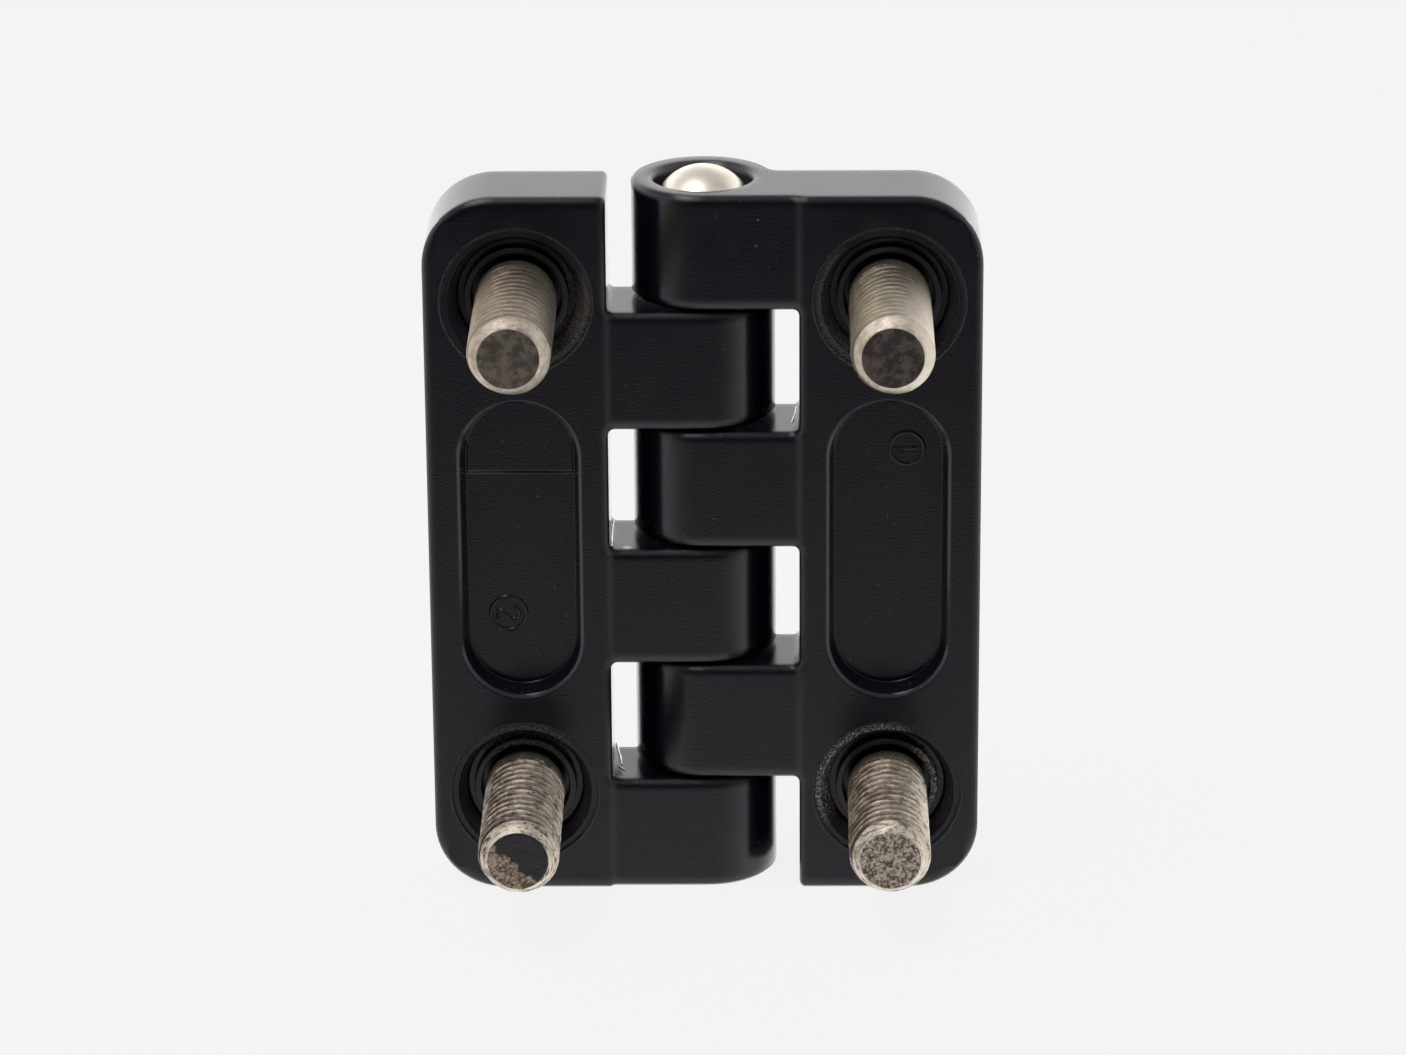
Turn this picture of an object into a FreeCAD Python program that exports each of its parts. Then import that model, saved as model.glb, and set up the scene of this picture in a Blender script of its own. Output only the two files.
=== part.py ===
import FreeCAD, Part
import math
import os
import re

import Sketcher

# Driving dimensions, in millimetres and degrees.
# X runs across the two leaves, Y from the mounting face to the front, Z along the pin.
# The outside follows from the inside: studs, their seats, the walls round them and the knuckles.
SIZES = [
    ("leaf_thickness", 9.5),
    ("knuckle_diameter", 14.0),
    ("knuckle_setback", 0.4),
    ("knuckle_gap", 0.4),
    ("knuckle_swing_gap", 2.3),
    ("end_knuckle_height", 11.4),
    ("inner_knuckle_height", 11.8),
    ("setback_ease", 0.1),
    ("barrel_blend_radius", 1.2),
    ("outer_corner_radius", 6.8),
    ("edge_break", 0.3),
    ("pin_diameter", 6.0),
    ("pin_clearance", 0.05),
    ("pin_end_play", 0.1),
    ("pin_head_step", 0.9),
    ("pin_head_wall", 1.2),
    ("pin_dome_height", 1.9),
    ("pin_tail_inset", 0.5),
    ("pin_tail_chamfer", 0.5),
    ("counterbore_gap", 0.9),
    ("counterbore_depth", 2.0),
    ("stud_diameter", 8.0),
    ("stud_reach", 17.0),
    ("stud_chamfer", 1.1),
    ("stud_neck_step", 0.4),
    ("stud_clearance", 0.03),
    ("stud_front_wall", 2.0),
    ("collar_gap", 0.4),
    ("collar_wall", 0.65),
    ("collar_top_depth", 1.6),
    ("collar_well_depth", 3.2),
    ("groove_floor_width", 0.65),
    ("groove_wall_slope", 0.9),
    ("groove_depth", 2.5),
    ("ledge_width", 0.7),
    ("ledge_depth", 0.2),
    ("seat_inner_margin", 1.4),
    ("seat_outer_margin", 1.7),
    ("seat_end_margin", 3.1),
    ("recess_web", 3.0),
    ("recess_width", 11.6),
    ("recess_depth", 2.4),
    ("recess_draft", 12.0),
]

# Sizes that follow from the driving ones. The windows' corners are wide enough for the set-back's curve.
DERIVED = [
    ("knuckle_radius", "knuckle_diameter / 2"),
    ("axis_y", "knuckle_setback + knuckle_radius"),
    ("inner_wall_x", "knuckle_radius + knuckle_swing_gap"),
    ("setback_curve", "knuckle_setback + setback_ease"),
    ("window_corner_radius", "setback_curve + setback_ease"),
    ("blend_rise", "leaf_thickness + barrel_blend_radius - axis_y"),
    ("blend_x", "sqrt((knuckle_radius + barrel_blend_radius) ^ 2 - blend_rise ^ 2)"),
    ("stud_radius", "stud_diameter / 2"),
    ("stud_tip_radius", "stud_radius - stud_chamfer"),
    ("stud_neck_radius", "stud_radius - stud_neck_step"),
    ("stud_hole_radius", "stud_neck_radius + stud_clearance"),
    ("stud_hole_depth", "leaf_thickness - stud_front_wall"),
    ("well_radius", "stud_radius + collar_gap"),
    ("collar_radius", "well_radius + collar_wall"),
    ("groove_foot_radius", "collar_radius + groove_floor_width"),
    ("ledge_radius", "groove_foot_radius + groove_wall_slope"),
    ("seat_radius", "ledge_radius + ledge_width"),
    ("stud_x", "inner_wall_x + seat_inner_margin + seat_radius"),
    ("half_width", "stud_x + seat_radius + seat_outer_margin"),
    ("pin_radius", "pin_diameter / 2"),
    ("bore_radius", "pin_radius + pin_clearance"),
    ("pin_head_radius", "pin_radius + pin_head_step"),
    ("counterbore_radius", "pin_head_radius + counterbore_gap"),
]

KNUCKLE_COUNT = 6
CUT_OVERRUN = 5.0
TOUCH = 1e-4

os.makedirs("parts", exist_ok=True)
doc = FreeCAD.newDocument("stud_hinge")
sheet = doc.addObject("Spreadsheet::Sheet", "Sizes")


def height_sizes():
    """The levels along the pin, counted down from the top knuckle."""
    inner_count = KNUCKLE_COUNT - 2
    gap_count = KNUCKLE_COUNT - 1
    half = "end_knuckle_height + (%d * inner_knuckle_height + %d * knuckle_gap) / 2"
    rows = [
        ("half_height", half % (inner_count, gap_count)),
        ("counterbore_floor", "half_height - counterbore_depth"),
        ("stud_z", "half_height - seat_end_margin - seat_radius"),
        ("recess_reach", "stud_z - seat_radius - recess_web"),
        ("recess_arc_z", "recess_reach - recess_width / 2"),
        ("knuckle_1_top", "half_height"),
        ("knuckle_1_foot", "knuckle_1_top - end_knuckle_height"),
    ]
    for number in range(2, KNUCKLE_COUNT + 1):
        height = "end_knuckle_height" if number == KNUCKLE_COUNT else "inner_knuckle_height"
        rows.append(("knuckle_%d_top" % number, "knuckle_%d_foot - knuckle_gap" % (number - 1)))
        rows.append(("knuckle_%d_foot" % number, "knuckle_%d_top - %s" % (number, height)))
    return rows


def fill_sheet():
    cells = [(alias, str(value)) for alias, value in SIZES]
    cells += [(alias, "=" + formula) for alias, formula in DERIVED + height_sizes()]
    for row, (alias, text) in enumerate(cells, start=1):
        sheet.set("A%d" % row, alias)
        sheet.set("B%d" % row, text)
        sheet.setAlias("B%d" % row, alias)
    doc.recompute()


def named(formula):
    """The formula as the other objects write it, with each size looked up in the sheet."""
    return re.sub(r"\b[a-z]\w*", lambda alias: "Sizes." + alias.group(), formula)


def worth(formula):
    return float(sheet.evalExpression(formula))


def point(x, y):
    return FreeCAD.Vector(x, y, 0)


def origin_plane(body, role):
    for feature in body.Origin.OriginFeatures:
        if feature.Role == role:
            return feature
    raise ValueError(role)


def new_body(name):
    body = doc.addObject("PartDesign::Body", name)
    body.Label = name
    return body


def new_sketch(body, name, role, offset=None):
    """A sketch on one of the body's own origin planes, moved along that plane's normal."""
    sketch = body.newObject("Sketcher::SketchObject", body.Name + "_" + name)
    sketch.AttachmentSupport = [(origin_plane(body, role), "")]
    sketch.MapMode = "FlatFace"
    if offset:
        sketch.setExpression(".AttachmentOffset.Base.z", named(offset))
    return sketch


def add_line(sketch, start, end):
    return sketch.addGeometry(Part.LineSegment(start, end), False)


def add_arc(sketch, centre, radius, start, end):
    """An arc that turns anticlockwise from one angle to the other, in degrees."""
    circle = Part.Circle(centre, FreeCAD.Vector(0, 0, 1), radius)
    arc = Part.ArcOfCircle(circle, math.radians(start), math.radians(end))
    return sketch.addGeometry(arc, False)


def tie(sketch, kind, *args):
    return sketch.addConstraint(Sketcher.Constraint(kind, *args))


def drive(sketch, formula, kind, *args):
    """A dimension of the sketch that follows the sheet."""
    number = tie(sketch, kind, *args, worth(formula))
    sketch.setExpression("Constraints[%d]" % number, named(formula))


def drive_level(sketch, kind, formula, edge, end):
    """One coordinate of an edge's end by a formula, whichever side of the origin it is on."""
    if worth(formula) < 0:
        drive(sketch, "-(%s)" % formula, kind, edge, end, -1, 1)
    else:
        drive(sketch, formula, kind, -1, 1, edge, end)


def round_corner(sketch, before, side, places, radius):
    """An arc tangent to two sides, whose own meeting point stays as a construction point."""
    back, corner, on = places
    into, out = (corner - back).normalize(), (on - corner).normalize()
    reach = worth(radius)
    centre = corner + (out - into) * reach
    left_turn = into.cross(out).z > 0
    first, last = (1, 2) if left_turn else (2, 1)
    towards = -out if left_turn else into
    start = math.degrees(math.atan2(towards.y, towards.x))
    arc = add_arc(sketch, centre, reach, start, start + 90)
    tie(sketch, "Tangent", before, 2, arc, first)
    tie(sketch, "Tangent", arc, last, side, 1)
    drive(sketch, radius, "Radius", arc)
    meeting = sketch.addGeometry(Part.Point(corner), True)
    tie(sketch, "PointOnObject", meeting, 1, before)
    tie(sketch, "PointOnObject", meeting, 1, side)
    return meeting


def add_outline(sketch, corners, dome=None, rounds=None):
    """A closed outline through corners given by two formulas each.

    The side from the corner numbered dome is an arc about the upright axis. The right-angled
    corners in rounds have a radius, given by its formula.
    """
    rounds = rounds or {}
    places = [point(worth(across), worth(up)) for across, up in corners]
    count = len(places)
    sides = []
    for index, start in enumerate(places):
        following = (index + 1) % count
        end = places[following]
        if index == dome:
            rise, reach = end.y - start.y, start.x
            radius = (reach**2 + rise**2) / (2 * rise)
            from_angle = math.degrees(math.atan2(radius - rise, reach))
            sides.append(add_arc(sketch, point(0, end.y - radius), radius, from_angle, 90))
            tie(sketch, "PointOnObject", sides[-1], 3, -2)
            continue
        way = (end - start).normalize()
        start_room = worth(rounds.get(index, "0"))
        end_room = worth(rounds.get(following, "0"))
        sides.append(add_line(sketch, start + way * start_room, end - way * end_room))
    for index, (across, up) in enumerate(corners):
        held, before = sides[index], sides[index - 1]
        if index in rounds:
            around = [places[index - 1], places[index], places[(index + 1) % count]]
            held = round_corner(sketch, before, held, around, rounds[index])
        else:
            tie(sketch, "Coincident", before, 2, held, 1)
        drive_level(sketch, "DistanceX", across, held, 1)
        drive_level(sketch, "DistanceY", up, held, 1)
    return sides


def finish_cut(body, feature):
    """Recomputes after a cut and makes sure that it took material away."""
    before = body.Shape.Volume
    doc.recompute()
    if feature.Shape.isNull() or feature.Shape.Volume >= before:
        raise RuntimeError(feature.Name + " cut nothing")
    body.Tip = feature
    doc.recompute()


def add_pocket(body, name, sketch, depth=None, draft=None):
    """A pocket of that depth, or right through to both sides."""
    pocket = body.newObject("PartDesign::Pocket", body.Name + "_" + name)
    pocket.Profile = sketch
    if depth:
        pocket.setExpression("Length", named(depth))
    else:
        pocket.Type = "ThroughAll"
        pocket.Midplane = True
    if draft:
        pocket.setExpression("TaperAngle", named(draft))
    finish_cut(body, pocket)


def dress(body, name, chosen, radius=None, chamfer=None):
    """A fillet or a chamfer on the edges of the body's present shape that a test picks out."""
    base = body.Tip
    edges = ["Edge%d" % number for number, edge in enumerate(base.Shape.Edges, start=1) if chosen(edge)]
    kind = "PartDesign::Fillet" if radius else "PartDesign::Chamfer"
    feature = body.newObject(kind, body.Name + "_" + name)
    feature.Base = (base, edges)
    feature.setExpression("Radius" if radius else "Size", named(radius or chamfer))
    doc.recompute()
    body.Tip = feature
    doc.recompute()


def near(value, target):
    return abs(value - target) < TOUCH


def all_at(edge, axis, value):
    box = edge.BoundBox
    return near(getattr(box, axis + "Min"), value) and near(getattr(box, axis + "Max"), value)


def within(edge, axis, low, high):
    box = edge.BoundBox
    return getattr(box, axis + "Min") > low - TOUCH and getattr(box, axis + "Max") < high + TOUCH


def across_leaf(edge):
    """True for an edge that runs straight from the rear to the front."""
    box = edge.BoundBox
    return near(box.XMin, box.XMax) and near(box.ZMin, box.ZMax)


def knuckle_levels():
    """The heights of the end faces of this leaf's own knuckles."""
    own = range(1, KNUCKLE_COUNT + 1, 2)
    return [worth("knuckle_%d_%s" % (number, end)) for number in own for end in ("top", "foot")]


def leaf_section(body):
    """One section for the whole height: flat plate, arm set back from it, round knuckle barrel."""
    sketch = new_sketch(body, "section", "XY_Plane")
    radius, axis_y = worth("knuckle_radius"), worth("axis_y")
    front, outer = worth("leaf_thickness"), worth("half_width")
    inner, setback = worth("inner_wall_x"), worth("knuckle_setback")
    blend, curve = worth("barrel_blend_radius"), worth("setback_curve")
    rise, blend_x = worth("blend_rise"), worth("blend_x")
    touch = math.degrees(math.atan2(rise, blend_x))
    turn = math.degrees(math.acos(1 - setback / (2 * curve)))
    run = curve * math.sin(math.radians(turn))

    arm_rear = add_line(sketch, point(0, setback), point(inner - run, setback))
    foot = add_arc(sketch, point(inner - run, setback - curve), curve, 90 - turn, 90)
    brow = add_arc(sketch, point(inner + run, curve), curve, 270 - turn, 270)
    plate_rear = add_line(sketch, point(inner + run, 0), point(outer, 0))
    outer_edge = add_line(sketch, point(outer, 0), point(outer, front))
    front_edge = add_line(sketch, point(outer, front), point(blend_x, front))
    blend_arc = add_arc(sketch, point(blend_x, front + blend), blend, 180 + touch, 270)
    barrel_arc = add_arc(sketch, point(0, axis_y), radius, touch, 270)

    tie(sketch, "Tangent", arm_rear, 2, foot, 2)
    tie(sketch, "Tangent", foot, 1, brow, 1)
    tie(sketch, "Tangent", brow, 2, plate_rear, 1)
    tie(sketch, "Coincident", plate_rear, 2, outer_edge, 1)
    tie(sketch, "Coincident", outer_edge, 2, front_edge, 1)
    tie(sketch, "Tangent", front_edge, 2, blend_arc, 2)
    tie(sketch, "Tangent", blend_arc, 1, barrel_arc, 1)
    tie(sketch, "Tangent", barrel_arc, 2, arm_rear, 1)
    tie(sketch, "Horizontal", arm_rear)
    tie(sketch, "Horizontal", front_edge)
    tie(sketch, "Vertical", outer_edge)
    tie(sketch, "PointOnObject", plate_rear, 1, -1)
    tie(sketch, "PointOnObject", plate_rear, 2, -1)
    tie(sketch, "PointOnObject", barrel_arc, 3, -2)
    tie(sketch, "Equal", foot, brow)
    drive(sketch, "setback_curve", "Radius", foot)
    drive(sketch, "barrel_blend_radius", "Radius", blend_arc)
    drive(sketch, "knuckle_radius", "Radius", barrel_arc)
    drive(sketch, "axis_y", "DistanceY", -1, 1, barrel_arc, 3)
    drive(sketch, "inner_wall_x", "DistanceX", -1, 1, foot, 1)
    drive(sketch, "half_width", "DistanceX", -1, 1, outer_edge, 1)
    drive(sketch, "leaf_thickness", "DistanceY", -1, 1, outer_edge, 2)

    pad = body.newObject("PartDesign::Pad", body.Name + "_casting")
    pad.Profile = sketch
    pad.setExpression("Length", named("2 * half_height"))
    pad.Midplane = True
    doc.recompute()
    body.Tip = pad


def leaf_windows(body):
    """The gaps that take the other leaf's knuckles. The last one is open at the leaf's end."""
    sketch = new_sketch(body, "window_outlines", "XZ_Plane")
    beyond = "-knuckle_radius - %g" % CUT_OVERRUN
    low = "-half_height - %g" % CUT_OVERRUN
    for number in range(2, KNUCKLE_COUNT + 1, 2):
        top = "knuckle_%d_foot" % (number - 1)
        if number < KNUCKLE_COUNT:
            foot = "knuckle_%d_top" % (number + 1)
            corners = [(beyond, foot), (beyond, top), ("inner_wall_x", top), ("inner_wall_x", foot)]
        else:
            end_x = "inner_wall_x + 2 * window_corner_radius"
            corners = [(beyond, low), (beyond, top), ("inner_wall_x", top),
                       ("inner_wall_x", "-half_height"), (end_x, "-half_height"), (end_x, low)]
        add_outline(sketch, corners, rounds={2: "window_corner_radius", 3: "window_corner_radius"})
    add_pocket(body, "windows", sketch)


def leaf_corners(body):
    """The two large outer corners of the plate."""
    outer, half = worth("half_width"), worth("half_height")

    def outer_corner(edge):
        return all_at(edge, "X", outer) and (all_at(edge, "Z", half) or all_at(edge, "Z", -half))

    dress(body, "outer_corners", outer_corner, radius="outer_corner_radius")


def leaf_bore(body):
    """The pin's bore through all knuckles, and the counterbore for its head in the end one."""
    for name, radius, level, depth in (
        ("bore", "bore_radius", None, None),
        ("counterbore", "counterbore_radius", "half_height", "counterbore_depth"),
    ):
        sketch = new_sketch(body, name + "_circle", "XY_Plane", level)
        centre = point(0, worth("axis_y"))
        ring = Part.Circle(centre, FreeCAD.Vector(0, 0, 1), worth(radius))
        circle = sketch.addGeometry(ring, False)
        tie(sketch, "PointOnObject", circle, 3, -2)
        drive(sketch, "axis_y", "DistanceY", -1, 1, circle, 3)
        drive(sketch, radius, "Radius", circle)
        add_pocket(body, name, sketch, depth)


def leaf_recess(body):
    """The obround recess between the studs, with drafted walls."""
    sketch = new_sketch(body, "recess_outline", "XZ_Plane")
    centre_x, radius, arc_z = worth("stud_x"), worth("recess_width / 2"), worth("recess_arc_z")
    near_x, far_x = centre_x - radius, centre_x + radius
    near_side = add_line(sketch, point(near_x, arc_z), point(near_x, -arc_z))
    low = add_arc(sketch, point(centre_x, -arc_z), radius, 180, 360)
    far_side = add_line(sketch, point(far_x, -arc_z), point(far_x, arc_z))
    high = add_arc(sketch, point(centre_x, arc_z), radius, 0, 180)
    tie(sketch, "Tangent", near_side, 2, low, 1)
    tie(sketch, "Tangent", low, 2, far_side, 1)
    tie(sketch, "Tangent", far_side, 2, high, 1)
    tie(sketch, "Tangent", high, 2, near_side, 1)
    tie(sketch, "Vertical", near_side)
    tie(sketch, "Equal", low, high)
    drive(sketch, "recess_width / 2", "Radius", low)
    drive(sketch, "stud_x", "DistanceX", -1, 1, low, 3)
    drive(sketch, "recess_arc_z", "DistanceY", -1, 1, high, 3)
    drive(sketch, "recess_arc_z", "DistanceY", low, 3, -1, 1)
    add_pocket(body, "recess", sketch, "recess_depth", "-recess_draft")


def leaf_seats(body):
    """The round seat of a stud, turned about the stud's axis, then mirrored for the other stud."""
    sketch = new_sketch(body, "seat_profile", "YZ_Plane", "stud_x")
    outside = "-%g" % CUT_OVERRUN
    steps = [
        (outside, "seat_radius"),
        ("ledge_depth", "seat_radius"),
        ("ledge_depth", "ledge_radius"),
        ("groove_depth", "groove_foot_radius"),
        ("groove_depth", "collar_radius"),
        ("collar_top_depth", "collar_radius"),
        ("collar_top_depth", "well_radius"),
        ("collar_well_depth", "well_radius"),
        ("collar_well_depth", "stud_hole_radius"),
        ("stud_hole_depth", "stud_hole_radius"),
        ("stud_hole_depth", "0"),
        (outside, "0"),
    ]
    sides = add_outline(sketch, [(depth, "stud_z + " + radius) for depth, radius in steps])
    groove = body.newObject("PartDesign::Groove", body.Name + "_seat")
    groove.Profile = sketch
    groove.ReferenceAxis = (sketch, ["Edge%d" % (len(sides) - 1)])
    finish_cut(body, groove)
    mirrored = body.newObject("PartDesign::Mirrored", body.Name + "_seats")
    mirrored.Originals = [groove]
    mirrored.MirrorPlane = (origin_plane(body, "XY_Plane"), [""])
    finish_cut(body, mirrored)


def leaf_edges(body):
    """The broken edge that the casting has on its outlines, at the recess and at the counterbore."""
    outer, front = worth("half_width"), worth("leaf_thickness")
    bore, blend_x = worth("bore_radius"), worth("blend_x")
    corner_x = outer - worth("outer_corner_radius")
    recess_near, recess_far = worth("stud_x - recess_width / 2"), worth("stud_x + recess_width / 2")
    recess_reach = worth("recess_reach")
    levels = knuckle_levels() + [-worth("half_height")]

    def rim(edge):
        if across_leaf(edge) or all_at(edge, "X", blend_x):
            return False
        at_end = any(all_at(edge, "Z", level) for level in levels)
        at_end = at_end and not within(edge, "X", -bore, bore)
        at_rear = all_at(edge, "Y", 0)
        in_recess = within(edge, "X", recess_near, recess_far)
        in_recess = in_recess and within(edge, "Z", -recess_reach, recess_reach)
        at_corner = within(edge, "X", corner_x, outer)
        return at_end or all_at(edge, "Y", front) or at_rear and (in_recess or at_corner)

    dress(body, "rims", rim, chamfer="edge_break")


def make_leaf(name):
    """One casting. Both leaves come from the same mould."""
    body = new_body(name)
    leaf_section(body)
    leaf_windows(body)
    leaf_corners(body)
    leaf_bore(body)
    leaf_recess(body)
    leaf_seats(body)
    leaf_edges(body)
    return body


def turned_body(name, role, corners, dome=None):
    """A solid turned about its sketch's upright axis from corners given as radius and height."""
    body = new_body(name)
    sketch = new_sketch(body, "profile", role)
    add_outline(sketch, corners, dome)
    turned = body.newObject("PartDesign::Revolution", name + "_turned")
    turned.Profile = sketch
    turned.ReferenceAxis = (sketch, ["V_Axis"])
    doc.recompute()
    body.Tip = turned
    return body


def make_pin():
    """The pin: a domed head in the top counterbore, a shank, and a closed-up tail in the lower one."""
    head_wall_z = "counterbore_floor + pin_head_wall"
    tail_z = "-(counterbore_floor + pin_end_play)"
    end_z = "-(half_height - pin_tail_inset)"
    body = turned_body("hinge_pin", "XZ_Plane", [
        ("0", end_z),
        ("pin_head_radius - pin_tail_chamfer", end_z),
        ("pin_head_radius", end_z + " + pin_tail_chamfer"),
        ("pin_head_radius", tail_z),
        ("pin_radius", tail_z),
        ("pin_radius", "counterbore_floor"),
        ("pin_head_radius", "counterbore_floor"),
        ("pin_head_radius", head_wall_z),
        ("0", head_wall_z + " + pin_dome_height"),
    ], dome=7)
    body.setExpression(".Placement.Base.y", named("axis_y"))
    return body


def make_stud(name, side, level):
    """A stud of the thread's outer diameter, with a thinner neck down to the floor of its blind hole."""
    body = turned_body(name, "XY_Plane", [
        ("0", "-stud_reach"),
        ("stud_tip_radius", "-stud_reach"),
        ("stud_radius", "stud_chamfer - stud_reach"),
        ("stud_radius", "0"),
        ("stud_neck_radius", "0"),
        ("stud_neck_radius", "stud_hole_depth"),
        ("0", "stud_hole_depth"),
    ])
    body.setExpression(".Placement.Base.x", named("%d * stud_x" % side))
    body.setExpression(".Placement.Base.z", named("%d * stud_z" % level))
    return body


def check_document(bodies):
    """Stops if anything in the document failed, or a solid is missing or not sound."""
    doc.recompute()
    for thing in doc.Objects:
        if "Invalid" in thing.State or "Error" in thing.State:
            raise RuntimeError(thing.Name + " failed")
    for body in bodies:
        if body.Shape.isNull() or not body.Shape.isValid() or len(body.Shape.Solids) != 1:
            raise RuntimeError(body.Label + " is not one sound solid")


fill_sheet()
half_turn = FreeCAD.Rotation(FreeCAD.Vector(0, 1, 0), 180)
right_leaf = make_leaf("right_leaf")
left_leaf = make_leaf("left_leaf")
left_leaf.Placement = FreeCAD.Placement(point(0, 0), half_turn)
bodies = [right_leaf, left_leaf, make_pin()]
for side_name, side in (("right", 1), ("left", -1)):
    for level_name, level in (("upper", 1), ("lower", -1)):
        bodies.append(make_stud("%s_%s_stud" % (side_name, level_name), side, level))
check_document(bodies)
for body in bodies:
    body.Shape.exportStep("parts/%s.step" % body.Label)
    print("%-18s %9.1f mm3  %d faces" % (body.Label, body.Shape.Volume, len(body.Shape.Faces)))
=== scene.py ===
import math

import bmesh
import bpy
from mathutils import Matrix, Vector, noise


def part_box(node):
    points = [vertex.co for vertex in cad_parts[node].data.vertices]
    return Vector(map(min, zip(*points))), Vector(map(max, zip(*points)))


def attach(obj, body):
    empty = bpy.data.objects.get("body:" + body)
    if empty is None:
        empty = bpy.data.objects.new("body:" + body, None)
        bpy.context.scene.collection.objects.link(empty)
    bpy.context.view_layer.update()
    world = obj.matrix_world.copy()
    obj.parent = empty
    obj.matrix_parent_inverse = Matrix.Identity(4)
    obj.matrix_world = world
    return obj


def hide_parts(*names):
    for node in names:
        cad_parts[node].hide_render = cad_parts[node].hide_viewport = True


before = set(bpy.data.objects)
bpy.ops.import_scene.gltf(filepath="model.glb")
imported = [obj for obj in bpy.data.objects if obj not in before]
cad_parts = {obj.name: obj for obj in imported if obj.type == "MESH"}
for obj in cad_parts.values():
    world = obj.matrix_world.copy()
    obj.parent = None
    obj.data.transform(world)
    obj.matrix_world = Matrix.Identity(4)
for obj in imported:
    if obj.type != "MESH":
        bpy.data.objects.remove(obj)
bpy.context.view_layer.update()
MM = 0.001

# The camera: angles in degrees, lengths in millimetres, the picture in pixels.
IMAGE_WIDTH = 1406
SENSOR_WIDTH = 36.0
FOCAL_PIXELS = 5639.66
CAMERA_PLACE = (7.458, -515.924, 195.153)
CAMERA_DOWN = 20.718
CAMERA_YAW = -0.828
CAMERA_ROLL = -0.407
IMAGE_OFFSET = (1.353, 23.532)

# Colours as the eye sees them: sRGB from 0 to 255.
BACKGROUND = (245, 245, 245)
COAT_BLACK = (11, 10, 21)
GRIT_BROWN = (92, 84, 70)
GRIT_PALE = (186, 182, 168)
NICKEL = (214, 203, 187)
FOOT_GRIME = (62, 58, 52)
PAINT_BLACK = (34, 33, 37)
# Painted reflection: the lighter grey of the seats' slopes and collars.
SEAT_PAINTED_SHEEN = (46, 44, 48)
# Painted reflection: the lighter grey of the counterbore's wall.
BORE_PAINTED_SHEEN = (52, 50, 50)
PIN_SILVER = (238, 232, 217)

# The floor, in metres, with its own glow and the share of it that real light and shadow make.
FLOOR_REACH = 3.0
FLOOR_GAP = 0.00002
FLOOR_GLOW = 1.0
FLOOR_SHADOW = 0.06

# How bright the light tent is on each side, and the lamp above it, in metres and watts.
TENT_BACK = 1.5
TENT_SIDES = 1.15
TENT_TOP = 0.5
TENT_FRONT = 0.02
TENT_LOW_FRONT = 0.9
LAMP_PLACE = (-0.2, -0.15, 0.6)
LAMP_SIZE = 0.25
LAMP_POWER = 1.6

# The studs' threads, in millimetres, and how finely they are cut.
PITCH = 1.25
TIP_CHAMFER = 1.1
CREST_SHARE = 0.12
FLANK_SHARE = 0.63
NICK_RADIUS = 4.0
STEPS_AROUND = 72
ROWS_A_TURN = 10
WELD = 1e-4
CAP_INSET = 0.15
SHARP_ANGLE = 50

# The plain shoulder behind the thread, in the seat's well, and the lip before it, which gets a painted
# highlight.
NECK_STEP = 0.4
SHOULDER_TOP = -0.35
SHOULDER_END = 1.5
SHOULDER_RADIUS = 3.92
LIP_HIGHLIGHT = (-0.62, -0.4)

# The black paint on a stud's end: how far it reaches out and down.
PAINT_RADIUS = 3.2
PAINT_EDGE = -0.75

# Sizes read from the solids, in millimetres.
LEAF_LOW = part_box("right_leaf")[0] / MM
STUD_LOW, STUD_HIGH = (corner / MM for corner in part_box("right_upper_stud"))
PIN_LOW, PIN_HIGH = (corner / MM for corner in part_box("hinge_pin"))
STUD_RADIUS = (STUD_HIGH.x - STUD_LOW.x) / 2
STUD_X = (STUD_HIGH.x + STUD_LOW.x) / 2
STUD_Z = (STUD_HIGH.z + STUD_LOW.z) / 2
NECK_RADIUS = STUD_RADIUS - NECK_STEP
TIP_RADIUS = STUD_RADIUS - TIP_CHAMFER
PIN_Y = (PIN_LOW.y + PIN_HIGH.y) / 2

# A leaf's rear side: how deep it counts as rear, and half of its flat face, where edges are crisp.
REAR_DEPTH = 3.3
FACE_HALF_WIDTH = 7.75
FACE_HALF_HEIGHT = 33.75
FACE_FADE = 0.15
CRISP_EDGE = 0.22
SOFT_EDGE = 1.4

# A stud's seat, as radii: the sunk collar, the groove's slope and the outer edge.
COLLAR = (4.5, 5.0)
SLOPE = (5.85, 6.55)
SEAT_EDGE = 7.3

# How far out grit lies on a seat, and over how many degrees a patch fades inside and outside its spread.
GRIT_EDGE = SEAT_EDGE - 0.1
FADE_INSIDE = 12
FADE_OUTSIDE = 18

# The counterbore of the pin's head: its radius and its floor.
BORE_EDGE = 5.17
BORE_FLOOR = 34.4

# The recess, and the low step that an insert of the mould left on the left one's floor.
RECESS_FLOOR = 2.4
FLOOR_HALF_WIDTH = 5.15
INSERT_LOW = 7.4
INSERT_HIGH = 16.25
INSERT_STEP = 0.2
LINE_RADIUS = 0.2

# Small chips that let bare metal through: X and Z on the top knuckle. Then a painted light spot, for light
# seen through a gap, at a point on a window's floor.
KNUCKLE_CHIPS = ((5.36, 33.72), (5.16, 31.12))
KNUCKLE_CHIP_RADIUS = 0.173
WINDOW_LIGHT_SPOT = (-7.6, 1.6, 0.0)
WINDOW_LIGHT_SPOT_RADIUS = 0.475

# Thin strands of casting flash in the windows' corners.
STRAND_RADIUS = 0.16
STRAND_POINTS = 6
STRAND_WANDER = 0.14
STRAND_SEED = 4


def linear(rgb):
    """A colour of 0 to 255 as the linear light that shaders take."""
    def channel(value):
        value /= 255
        return value / 12.92 if value <= 0.04045 else ((value + 0.055) / 1.055) ** 2.4
    return tuple(channel(value) for value in rgb) + (1.0,)


def feed(tree, socket, value):
    if isinstance(value, Value):
        tree.links.new(value.socket, socket)
    elif value is not None:
        socket.default_value = value


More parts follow.
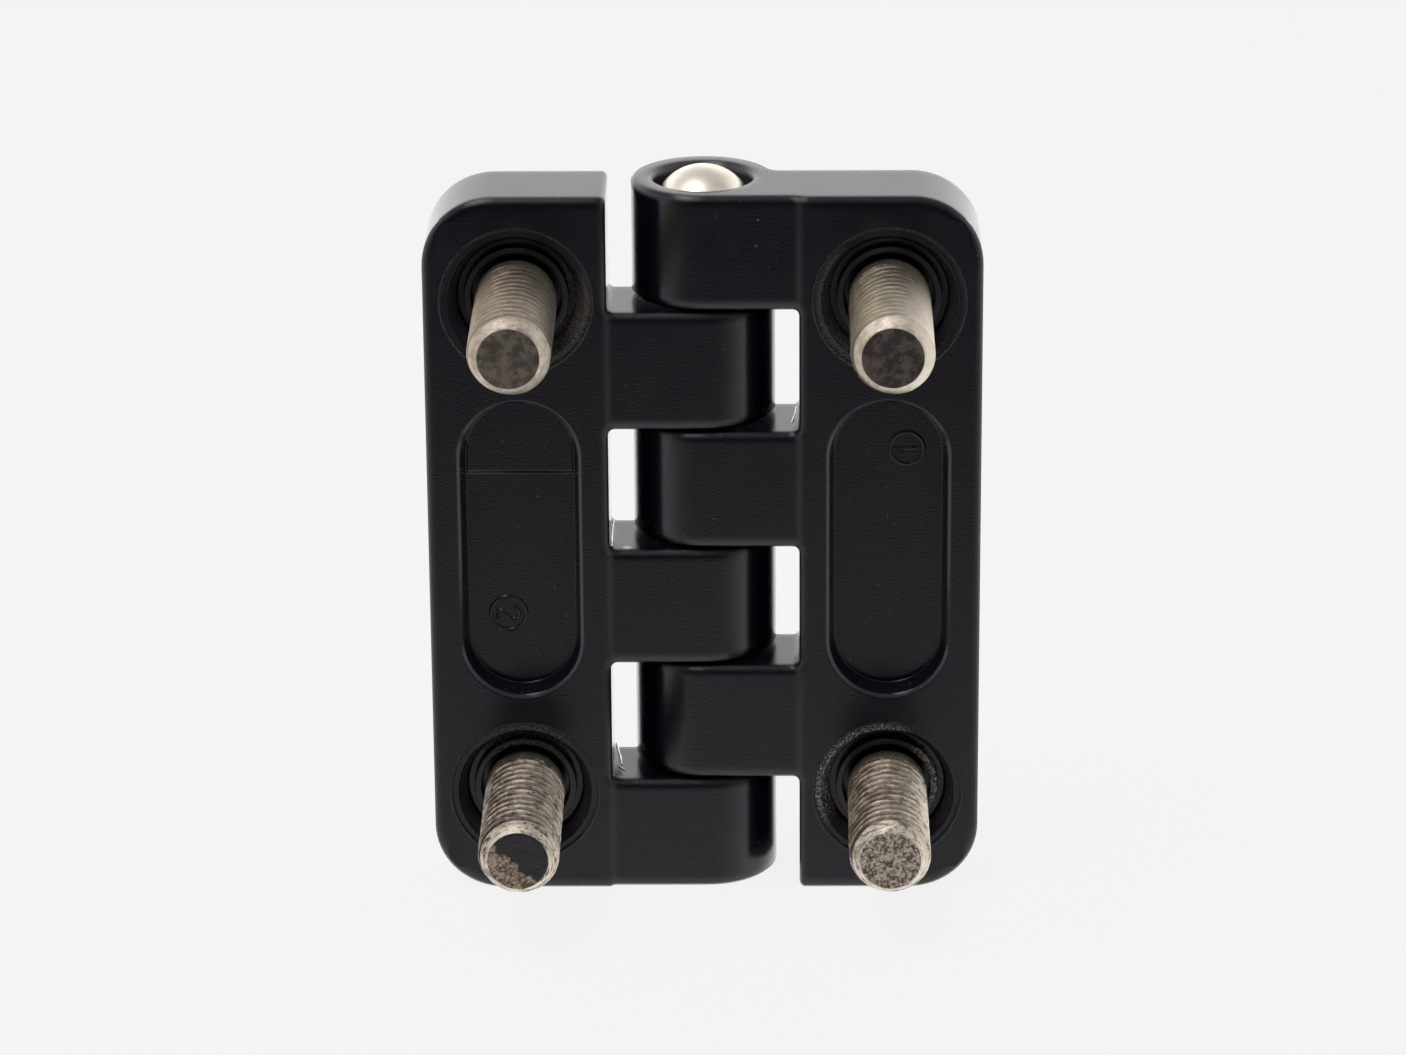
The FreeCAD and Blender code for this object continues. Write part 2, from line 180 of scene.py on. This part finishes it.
class Value:
    """What comes out of a node. Arithmetic on it adds Math nodes."""

    def __init__(self, tree, socket):
        self.tree = tree
        self.socket = socket

    def math(self, operation, first, second=None):
        node = self.tree.nodes.new("ShaderNodeMath")
        node.operation = operation
        feed(self.tree, node.inputs[0], first)
        feed(self.tree, node.inputs[1], second)
        return Value(self.tree, node.outputs[0])

    def __add__(self, other):
        return self.math("ADD", self, other)

    def __sub__(self, other):
        return self.math("SUBTRACT", self, other)

    def __rsub__(self, other):
        return self.math("SUBTRACT", other, self)

    def __mul__(self, other):
        return self.math("MULTIPLY", self, other)

    def __truediv__(self, other):
        return self.math("DIVIDE", self, other)

    def __pow__(self, other):
        return self.math("POWER", self, other)

    __radd__ = __add__
    __rmul__ = __mul__

    def absolute(self):
        return self.math("ABSOLUTE", self)

    def at_least(self, other):
        return self.math("MAXIMUM", self, other)

    def step(self, start, end):
        """0 before start and 1 after end, smooth between. Start may be the larger one."""
        node = self.tree.nodes.new("ShaderNodeMapRange")
        node.interpolation_type = "SMOOTHSTEP"
        feed(self.tree, node.inputs["Value"], self)
        node.inputs["From Min"].default_value = min(start, end)
        node.inputs["From Max"].default_value = max(start, end)
        node.inputs["To Min"].default_value = 0.0 if start < end else 1.0
        node.inputs["To Max"].default_value = 1.0 if start < end else 0.0
        return Value(self.tree, node.outputs["Result"])

    def above(self, limit, soft):
        """1 above a limit and 0 below, smooth at it."""
        return self.step(limit - soft, limit + soft)

    def below(self, limit, soft):
        """1 below a limit and 0 above, smooth at it."""
        return self.step(limit + soft, limit - soft)

    def band(self, low, high, soft):
        """1 between low and high, 0 outside."""
        return self.above(low, soft) * self.below(high, soft)


class Nodes:
    """The node tree of a material or of the world."""

    def __init__(self, owner):
        owner.use_nodes = True
        self.tree = owner.node_tree
        self.tree.nodes.clear()

    def add(self, kind, output=0, settings=None, **inputs):
        """One node. Its settings come first, then its inputs by name, with _ for a space."""
        node = self.tree.nodes.new("ShaderNode" + kind)
        for name, value in (settings or {}).items():
            setattr(node, name, value)
        for name, value in inputs.items():
            feed(self.tree, node.inputs[name.replace("_", " ")], value)
        return Value(self.tree, node.outputs[output])

    def mix(self, share, first, second):
        """A colour between two."""
        node = self.tree.nodes.new("ShaderNodeMix")
        node.data_type = "RGBA"
        feed(self.tree, node.inputs[0], share)
        feed(self.tree, node.inputs[6], first)
        feed(self.tree, node.inputs[7], second)
        return Value(self.tree, node.outputs[2])

    def vector(self, operation, first, second=None, scale=None, output=0):
        node = self.tree.nodes.new("ShaderNodeVectorMath")
        node.operation = operation
        feed(self.tree, node.inputs[0], first)
        feed(self.tree, node.inputs[1], second)
        if scale is not None:
            feed(self.tree, node.inputs["Scale"], scale)
        return Value(self.tree, node.outputs[output])

    def parts(self, vector):
        node = self.tree.nodes.new("ShaderNodeSeparateXYZ")
        feed(self.tree, node.inputs[0], vector)
        return [Value(self.tree, socket) for socket in node.outputs]

    def place(self):
        """The point of the surface in millimetres: the whole vector, then X, Y and Z."""
        point = self.vector("SCALE", self.add("TexCoord", "Object"), scale=1 / MM)
        return [point] + self.parts(point)

    def noise(self, point, per_mm, detail=2.0, roughness=0.5):
        return self.add("TexNoise", "Fac", Vector=point, Scale=per_mm, Detail=detail, Roughness=roughness)

    def bump(self, height, depth_mm, normal=None):
        """The surface's normal, bent by a height of 0 to 1 that stands for a depth."""
        return self.add("Bump", Height=height, Distance=depth_mm * MM, Normal=normal)

    def bevel(self, radius_mm, samples):
        """The surface's normal, rounded at the edges."""
        return self.add("Bevel", settings={"samples": samples}, Radius=radius_mm * MM)

    def blend(self, share, first, second):
        """A shader between two."""
        node = self.tree.nodes.new("ShaderNodeMixShader")
        feed(self.tree, node.inputs[0], share)
        feed(self.tree, node.inputs[1], first)
        feed(self.tree, node.inputs[2], second)
        return Value(self.tree, node.outputs[0])

    def finish(self, shader, end="OutputMaterial"):
        out = self.tree.nodes.new("ShaderNode" + end)
        self.tree.links.new(shader.socket, out.inputs["Surface"])

    def surface(self, **inputs):
        """The last shader of a material."""
        self.finish(self.add("BsdfPrincipled", **inputs))


def new_material(name):
    material = bpy.data.materials.new(name)
    return material, Nodes(material)


def add_object(name, data, body=None):
    thing = bpy.data.objects.new(name, data)
    bpy.context.scene.collection.objects.link(thing)
    if body:
        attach(thing, body)
    return thing


def distance(across, along):
    """How far a point lies from a middle, from its two offsets."""
    return (across * across + along * along) ** 0.5


def grit_patch(x, z, seat, radii, heading, spread):
    """A patch of grit on a seat, between two radii and to both sides of a heading, in degrees."""
    across, along = x - seat[0], z - seat[1]
    reach = distance(across, along)
    heading = math.radians(heading)
    turned = (across * math.cos(heading) + along * math.sin(heading)) / reach
    edge = math.cos(math.radians(spread + FADE_OUTSIDE))
    core = math.cos(math.radians(spread - FADE_INSIDE))
    return reach.band(*radii, 0.2) * turned.step(edge, core)


def coat_material(name, soft_edges=True):
    """Satin black paint on the castings, with grit round the seats, small chips and the insert's step, and
    painted light: a lighter grey for reflections on the seats' slopes and collars and in the counterbore,
    and a painted light spot on a window's floor.
    """
    material, nodes = new_material(name)
    point, x, y, z = nodes.place()
    grain = nodes.noise(point, 5.0, detail=3.0)
    cloud = nodes.noise(point, 0.25)
    specks = nodes.noise(point, 2.6, detail=1.0).step(0.76, 0.8)
    speckle = nodes.noise(point, 4.6, detail=4.0, roughness=0.75)
    seat = distance(x.absolute() - STUD_X, z.absolute() - STUD_Z)
    rear = y.below(REAR_DEPTH, 0.3)

    # Brown and pale grit, thicker on some sides of the seats.
    upper_left, upper_right = (-STUD_X, STUD_Z), (STUD_X, STUD_Z)
    lower_left, lower_right = (-STUD_X, -STUD_Z), (STUD_X, -STUD_Z)
    brown = grit_patch(x, z, upper_left, (5.2, GRIT_EDGE), -35, 45)
    brown = brown.at_least(grit_patch(x, z, upper_right, (5.6, GRIT_EDGE), 190, 50) * 0.6)
    brown = brown.at_least(grit_patch(x, z, lower_left, (4.5, GRIT_EDGE), 88, 38))
    pale = grit_patch(x, z, lower_right, (5.7, GRIT_EDGE), 140, 58)
    pale = pale.at_least(grit_patch(x, z, lower_right, (4.3, 5.2), 15, 30))
    brown = brown * rear * speckle.step(0.44, 0.6)
    pale = pale * rear * speckle.step(0.48, 0.58)
    grit = brown.at_least(pale)

    # Bare metal in the chips, and a painted light spot on a window's floor.
    chips_and_light_spot = nodes.vector("DISTANCE", point, WINDOW_LIGHT_SPOT, output=1).below(WINDOW_LIGHT_SPOT_RADIUS, 0.075)
    for chip in KNUCKLE_CHIPS:
        flat = (x - chip[0]) ** 2 + (z - chip[1]) ** 2
        chips_and_light_spot = chips_and_light_spot.at_least(flat.step(KNUCKLE_CHIP_RADIUS**2, 0.0) * rear * 0.1)

    # The seats' slopes, and half as much their collars, are painted a lighter grey: a painted reflection.
    turned = (seat.band(*SLOPE, 0.12) + seat.band(*COLLAR, 0.05) * 0.5) * rear
    # The counterbore's wall is painted a lighter grey: a painted reflection.
    bore_sheen = distance(x, y - PIN_Y).below(BORE_EDGE, 0.073) * z.absolute().above(BORE_FLOOR, 0.2)
    colour = nodes.mix(turned, linear(COAT_BLACK), linear(SEAT_PAINTED_SHEEN))
    colour = nodes.mix(bore_sheen, colour, linear(BORE_PAINTED_SHEEN))
    colour = nodes.mix(brown * 0.8, colour, linear(GRIT_BROWN))
    colour = nodes.mix(pale * 0.9, colour, linear(GRIT_PALE))
    colour = nodes.mix(specks * 0.16, colour, linear(GRIT_PALE))
    colour = nodes.mix(chips_and_light_spot, colour, linear(PIN_SILVER))
    roughness = 0.14 + cloud * 0.1 + grit * 0.4

    normal = None
    if soft_edges:
        face = (x.absolute() - STUD_X).absolute().below(FACE_HALF_WIDTH, FACE_FADE)
        face = face * z.absolute().below(FACE_HALF_HEIGHT, FACE_FADE)
        normal = nodes.mix(face, nodes.bevel(SOFT_EDGE, 8), nodes.bevel(CRISP_EDGE, 6))
    floor = y.above(RECESS_FLOOR - 0.2, 0.1) * y.below(RECESS_FLOOR + 0.8, 0.2)
    floor = floor * (x + STUD_X).absolute().below(FLOOR_HALF_WIDTH, 0.05)
    insert = z.above(INSERT_LOW, 0.2) * z.below(INSERT_HIGH, 0.25) * floor
    worn_rim = seat.band(SEAT_EDGE - 0.15, SEAT_EDGE + 0.15, 0.1) * speckle.step(0.46, 0.56) * rear
    normal = nodes.bump(grain + grit * 3.0 + worn_rim * 3.5, 0.012, normal)
    normal = nodes.bump(insert, INSERT_STEP, normal)
    nodes.surface(Base_Color=colour, Roughness=roughness, Normal=normal)
    return material


def flash_material():
    """Thin metal that the paint hardly covers."""
    material, nodes = new_material("casting_flash")
    point = nodes.place()[0]
    colour = nodes.mix(nodes.noise(point, 1.2).step(0.3, 0.6), linear(GRIT_PALE), linear(PIN_SILVER))
    nodes.surface(Base_Color=colour, Metallic=1.0, Roughness=0.25)
    return material


def pin_material():
    """Bright turned steel."""
    material, nodes = new_material("pin_steel")
    point = nodes.place()[0]
    turned = nodes.noise(nodes.vector("MULTIPLY", point, (0.6, 0.6, 9.0)), 1.0, detail=3.0)
    marks = nodes.noise(point, 0.7, detail=2.0)
    colour = nodes.mix(marks.step(0.45, 0.75) * 0.5, linear(PIN_SILVER), linear(NICKEL))
    roughness = 0.34 + marks * 0.1
    nodes.surface(Base_Color=colour, Metallic=1.0, Roughness=roughness, Normal=nodes.bump(turned, 0.01))
    return material


def stud_material(name, centre, depth, looks):
    """Plated steel that has dulled: bright crests, brown roots, and a dirty or painted end, with painted
    light on the right side and a painted highlight on the lip.
    """
    material, nodes = new_material(name)
    point, x, y, z = nodes.place()
    across, along = x - centre[0], z - centre[1]
    reach = distance(across, along)
    wear = nodes.noise(point, 0.8, detail=4.0, roughness=0.6)
    streaks = nodes.noise(nodes.vector("MULTIPLY", point, (0.9, 4.0, 0.9)), 1.0, detail=4.0, roughness=0.7)
    fine = nodes.noise(point, 4.4, detail=4.0, roughness=0.75)

    # The thread: bright on the crests and the tip, brown in the roots, and lighter on the right side,
    # which is painted light.
    crest = (reach + streaks * 0.36 - 0.2).step(STUD_RADIUS - 0.7 * depth, STUD_RADIUS)
    crest = crest * (0.55 + wear.step(0.4, 0.6) * 0.45)
    tip = y.below(STUD_LOW.y + 1.0, 0.4) * (0.4 + wear.step(0.3, 0.6) * 0.6)
    nickel_and_side_light = (crest * 0.8 + wear.step(0.35, 0.7) * 0.2).at_least(tip)
    # Lighter towards the right side: painted light.
    nickel_and_side_light = nickel_and_side_light + 0.08 + across * 0.07 + across.at_least(0.0) * 0.05
    colour = nodes.mix(nickel_and_side_light * looks["shine"], linear(looks["root"]), linear(NICKEL))
    colour = nodes.mix(streaks.step(0.5, 0.62) * looks["brown"], colour, linear(looks["root"]))
    foot = y.step(looks["foot"], looks["foot"] + 0.5) * (0.4 + fine.step(0.35, 0.6) * 0.6)
    colour = nodes.mix(foot * 0.85, colour, linear(FOOT_GRIME))
    # A painted highlight on the lip before the shoulder.
    colour = nodes.mix(y.band(*LIP_HIGHLIGHT, 0.04) * looks["lip_highlight"], colour, linear(PIN_SILVER))

    # The flat end.
    end = y.below(STUD_LOW.y + 0.035, 0.025)
    mottle = nodes.noise(point, looks["mottle"], detail=4.0, roughness=0.7)
    dirt = nodes.mix(mottle.step(0.4, 0.62), linear(looks["dark"]), linear(looks["pale"]))
    gloss = 0.0
    if looks["painted"]:
        edge = nodes.noise(point, 0.7, detail=4.0) * 4.0 - 2.0
        paint = (along + across * 0.9 + edge).above(PAINT_EDGE, 0.15) * reach.below(PAINT_RADIUS, 0.1)
        dirt = nodes.mix(paint, dirt, linear(PAINT_BLACK))
        gloss = end * paint * 0.45
    colour = nodes.mix(end, colour, dirt)
    metallic = 1.0 - end * 0.8 - foot * 0.5
    roughness = 0.26 + fine * 0.24 + end * 0.34 - gloss
    normal = nodes.bump(fine + streaks * 1.5, 0.06)
    nodes.surface(Base_Color=colour, Metallic=metallic, Roughness=roughness, Normal=normal)
    return material


def groove_share(turn):
    """How deep the thread is at a part of a turn: 0 on the crest, 1 in the root."""
    away = min(turn % 1, 1 - turn % 1) * 2
    return min(max((away - CREST_SHARE) / FLANK_SHARE, 0.0), 1.0)


def stud_radius(y, groove, nick, depth):
    """The stud's radius at one row: its shoulder, its thread or the cone of its tip."""
    if y > SHOULDER_TOP:
        return min(NECK_RADIUS - y + SHOULDER_END, SHOULDER_RADIUS)
    thread = STUD_RADIUS - depth * (groove + (0.2 * nick if groove < 0.5 else 0))
    tip = (y - STUD_LOW.y) / TIP_CHAMFER
    cone = TIP_RADIUS + TIP_CHAMFER * tip**0.8 - 0.9 * depth * groove * min(tip, 1)
    return min(thread, cone)


def on_stud(centre, angle, y, radius):
    """A point at an angle round a stud's axis."""
    return Vector((centre[0] + radius * math.cos(angle), y, centre[1] + radius * math.sin(angle)))


def threaded_stud(name, body, centre, depth, worn, material):
    """A stud with a cut thread that is filled up by the worn share on its right side."""
    length = SHOULDER_END - STUD_LOW.y
    rows = math.ceil(length / PITCH * ROWS_A_TURN) + ROWS_A_TURN
    mesh = bmesh.new()

    # The rows follow the helix, so that every ridge is clean.
    grid = []
    for i in range(STEPS_AROUND):
        angle = 2 * math.pi * i / STEPS_AROUND
        here = depth * (1 - worn * min(max(0.5 + 1.2 * math.cos(angle), 0), 1))
        column = []
        for j in range(rows + 1):
            y = STUD_LOW.y + PITCH * (j / ROWS_A_TURN - i / STEPS_AROUND)
            y = min(max(y, STUD_LOW.y), SHOULDER_END)
            nick = 0.5 + 0.5 * noise.noise(on_stud(centre, angle, y, NICK_RADIUS) * 1.6)
            radius = stud_radius(y, groove_share(j / ROWS_A_TURN), nick, here)
            column.append(mesh.verts.new(on_stud(centre, angle, y, radius) * MM))
        grid.append(column)
    for i in range(STEPS_AROUND):
        for j in range(rows):
            if i + 1 < STEPS_AROUND:
                far = grid[i + 1][j], grid[i + 1][j + 1]
            else:
                far = grid[0][max(j - ROWS_A_TURN, 0)], grid[0][max(j + 1 - ROWS_A_TURN, 0)]
            corners = [grid[i][j], far[0], far[1], grid[i][j + 1]]
            corners = [corner for n, corner in enumerate(corners) if corner not in corners[:n]]
            if len(corners) > 2:
                mesh.faces.new(corners)
    bmesh.ops.remove_doubles(mesh, verts=mesh.verts, dist=WELD * MM)
    bmesh.ops.dissolve_degenerate(mesh, edges=mesh.edges, dist=WELD * MM)

    # The flat end, and at the other end the neck with its own flat end.
    for y, neck_end in ((STUD_LOW.y, None), (SHOULDER_END, STUD_HIGH.y)):
        edges = [e for e in mesh.edges if e.is_boundary and abs(e.verts[0].co.y / MM - y) < 0.01]
        if neck_end is not None:
            made = bmesh.ops.extrude_edge_only(mesh, edges=edges)["geom"]
            for vert in made:
                if isinstance(vert, bmesh.types.BMVert):
                    vert.co.y = neck_end * MM
            edges = [e for e in made if isinstance(e, bmesh.types.BMEdge) and e.is_boundary]
        cap = bmesh.ops.holes_fill(mesh, edges=edges)["faces"]
        bmesh.ops.inset_region(mesh, faces=cap, thickness=CAP_INSET * MM)
    bmesh.ops.recalc_face_normals(mesh, faces=mesh.faces)
    data = bpy.data.meshes.new(name)
    mesh.to_mesh(data)
    mesh.free()
    data.shade_smooth()
    data.set_sharp_from_angle(angle=math.radians(SHARP_ANGLE))
    data.materials.append(material)
    return add_object(name, data, body)


def round_line(name, body, points, radius, roundness, material, closed=False):
    """A round line on a casting. Its points are X, Y and Z, and a share of the radius."""
    curve = bpy.data.curves.new(name, "CURVE")
    curve.dimensions = "3D"
    curve.bevel_depth = radius * MM
    curve.bevel_resolution = roundness
    spline = curve.splines.new("POLY")
    spline.points.add(len(points) - 1)
    spline.use_cyclic_u = closed
    for target, (x, y, z, share) in zip(spline.points, points):
        target.co = (x * MM, y * MM, z * MM, 1.0)
        target.radius = share
    curve.materials.append(material)
    line = add_object(name, curve, body)


def raised_line(name, body, points, material, closed=False):
    """A line on a recess floor, half sunk in it."""
    points = [(x, RECESS_FLOOR, z, 1.0) for x, z in points]
    round_line(name, body, points, LINE_RADIUS, 2, material, closed)


def arc(centre, radius, start, end, steps):
    """Points of an arc, its angles in degrees, as X and Z."""
    angles = (math.radians(start + (end - start) * step / steps) for step in range(steps + 1))
    return [(centre[0] + radius * math.cos(a), centre[1] + radius * math.sin(a)) for a in angles]


def cavity_number(name, body, centre, ring_radius, strokes, turn, material):
    """A plain number in a ring. Its strokes are drawn upright and then turned."""
    ring = arc(centre, ring_radius, 0, 360, 40)[:-1]
    raised_line(name + "_ring", body, ring, material, closed=True)
    cosine, sine = math.cos(math.radians(turn)), math.sin(math.radians(turn))
    points = [(centre[0] + u * cosine - v * sine, centre[1] + u * sine + v * cosine) for u, v in strokes]
    raised_line(name + "_digit", body, points, material)


def flash_strand(name, body, start, end, seed, material):
    """A thin strand of casting flash left in a corner between two points."""
    points = []
    for index in range(STRAND_POINTS):
        at = Vector(start).lerp(Vector(end), index / (STRAND_POINTS - 1))
        at += noise.noise_vector(at * 0.5 + Vector((seed, 0, 0))) * STRAND_WANDER
        points.append((*at, 0.5 + 0.9 * abs(noise.noise(at * 2.1))))
    round_line(name, body, points, STRAND_RADIUS, 1, material)


def add_camera():
    down, yaw, roll = (math.radians(a) for a in (CAMERA_DOWN, CAMERA_YAW, CAMERA_ROLL))
    ahead = Vector((math.sin(yaw) * math.cos(down), math.cos(yaw) * math.cos(down), -math.sin(down)))
    across = Vector((math.cos(yaw), -math.sin(yaw), 0))
    up = across.cross(ahead)
    right = across * math.cos(roll) + up * math.sin(roll)
    top = up * math.cos(roll) - across * math.sin(roll)
    data = bpy.data.cameras.new("camera")
    data.sensor_width = SENSOR_WIDTH
    data.lens = FOCAL_PIXELS / IMAGE_WIDTH * SENSOR_WIDTH
    data.shift_x = -IMAGE_OFFSET[0] / IMAGE_WIDTH
    data.shift_y = IMAGE_OFFSET[1] / IMAGE_WIDTH
    data.clip_start, data.clip_end = 0.01, 10
    camera = add_object("camera", data)
    turn = Matrix((right, top, -ahead)).transposed().to_4x4()
    camera.matrix_world = Matrix.Translation(Vector(CAMERA_PLACE) * MM) @ turn
    bpy.context.scene.camera = camera


def camera_ray(nodes):
    return nodes.add("LightPath", "Is Camera Ray")


def add_floor():
    """A pale floor that takes a faint shadow. Only the camera sees it: the world lights the object."""
    signs = ((-1, -1), (1, -1), (1, 1), (-1, 1))
    mesh = bpy.data.meshes.new("floor")
    mesh.from_pydata([(x * FLOOR_REACH, y * FLOOR_REACH, 0) for x, y in signs], [], [(0, 1, 2, 3)])
    floor = add_object("floor", mesh)
    floor.location.z = LEAF_LOW.z * MM - FLOOR_GAP
    material, nodes = new_material("pale_floor")
    lit = nodes.add("BsdfDiffuse", Color=linear(BACKGROUND))
    plain = nodes.add("Emission", Color=linear(BACKGROUND), Strength=FLOOR_GLOW)
    clear = nodes.add("BsdfTransparent")
    nodes.finish(nodes.blend(camera_ray(nodes), clear, nodes.blend(FLOOR_SHADOW, plain, lit)))
    mesh.materials.append(material)


def add_light():
    """A light tent: bright behind and at the sides, dim above, dark where the camera looks in."""
    world = bpy.data.worlds.new("world")
    bpy.context.scene.world = world
    nodes = Nodes(world)
    x, y, z = nodes.parts(nodes.add("TexCoord", "Generated"))

    def wall(level):
        return nodes.add("Background", Color=(level, level, level, 1.0))

    tent = nodes.blend(z.step(-0.29, -0.46), wall(TENT_FRONT), wall(TENT_LOW_FRONT))
    tent = nodes.blend(y.step(-0.2, -0.95), wall(TENT_SIDES), tent)
    tent = nodes.blend(y.step(0.15, 0.6), tent, wall(TENT_BACK))
    tent = nodes.blend(z.step(0.4, 0.75), tent, wall(TENT_TOP))
    behind = nodes.add("Background", Color=linear(BACKGROUND))
    nodes.finish(nodes.blend(camera_ray(nodes), tent, behind), "OutputWorld")

    data = bpy.data.lights.new("key", "AREA")
    data.shape = "RECTANGLE"
    data.size, data.size_y = LAMP_SIZE, LAMP_SIZE
    data.energy = LAMP_POWER
    lamp = add_object("key", data)
    lamp.location = LAMP_PLACE
    lamp.rotation_euler = (-lamp.location).to_track_quat("-Z", "Y").to_euler()


def give_material(node, material):
    """Gives a solid its material."""
    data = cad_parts[node].data
    data.materials.clear()
    data.materials.append(material)


bpy.context.scene.view_settings.view_transform = "Standard"
add_camera()
add_floor()
add_light()

coat = coat_material("coated_casting")
marks = coat_material("coated_marks", soft_edges=False)
give_material("right_leaf", coat)
give_material("left_leaf", coat)
give_material("hinge_pin", pin_material())

# How the studs have aged, and how strong the painted highlight on each lip is: the lower two rusty in
# their roots, the upper two dull and almost smooth.
SPECKLED = {"shine": 1.1, "brown": 0.75, "root": (78, 63, 48), "mottle": 3.2, "dark": (84, 68, 56),
            "pale": (204, 194, 180), "painted": False, "foot": -0.75, "lip_highlight": 0.7}
PAINTED = dict(SPECKLED, shine=0.95, brown=0.85, root=(54, 41, 36), pale=(184, 168, 146), painted=True)
DULL = {"shine": 0.7, "brown": 0.4, "root": (128, 112, 95), "mottle": 0.9, "dark": (66, 58, 51),
        "pale": (106, 96, 87), "painted": False, "foot": -1.8, "lip_highlight": 0.0}
PALE = dict(DULL, shine=1.0, brown=0.2, root=(146, 136, 114), dark=(40, 34, 31), pale=(86, 74, 68),
            foot=-0.9)

# Each stud: its place and body, its side and level, the thread's depth, the worn share and its looks.
for place, body, side, level, depth, worn, looks in (
    ("left_upper", "left_side", -1, 1, 0.26, 0.8, DULL),
    ("right_upper", "right_side", 1, 1, 0.24, 0.85, PALE),
    ("left_lower", "left_side", -1, -1, 0.52, 0.1, PAINTED),
    ("right_lower", "right_side", 1, -1, 0.48, 0.1, SPECKLED),
):
    centre = (side * STUD_X, level * STUD_Z)
    steel = stud_material(place + "_steel", centre, depth, looks)
    stud = threaded_stud(place + "_threaded_stud", body, centre, depth, worn, steel)
    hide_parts(place + "_stud")

one = [(-0.55, 0.55), (0.0, 1.05), (0.0, -1.05)]
two = arc((0, 0.45), 0.6, 170, -30, 10) + [(-0.6, -1.05), (0.65, -1.05)]
cavity_number("cavity_one", "right_side", (19.8, 9.8), 1.65, one, 90, marks)
cavity_number("cavity_two", "left_side", (-19.4, -7.4), 1.75, two, -90, marks)

# Each strand of flash: its window's floor, and X and Y of its two ends.
flash = flash_material()
noise.seed_set(STRAND_SEED)
for name, body, level, start, end in (
    ("flash_low", "left_side", -24.0, (-9.0, 8.6), (-8.4, 3.2)),
    ("flash_low_tail", "left_side", -24.0, (-8.6, 2.5), (-8.1, 1.7)),
    ("flash_mid", "left_side", 0.0, (-9.05, 8.6), (-9.1, 1.2)),
    ("flash_high", "left_side", 24.0, (-9.2, 8.7), (-9.35, 1.2)),
    ("flash_right", "right_side", 12.0, (9.1, 8.0), (8.6, 3.6)),
):
    flash_strand(name, body, (*start, level), (*end, level), level + start[1], flash)
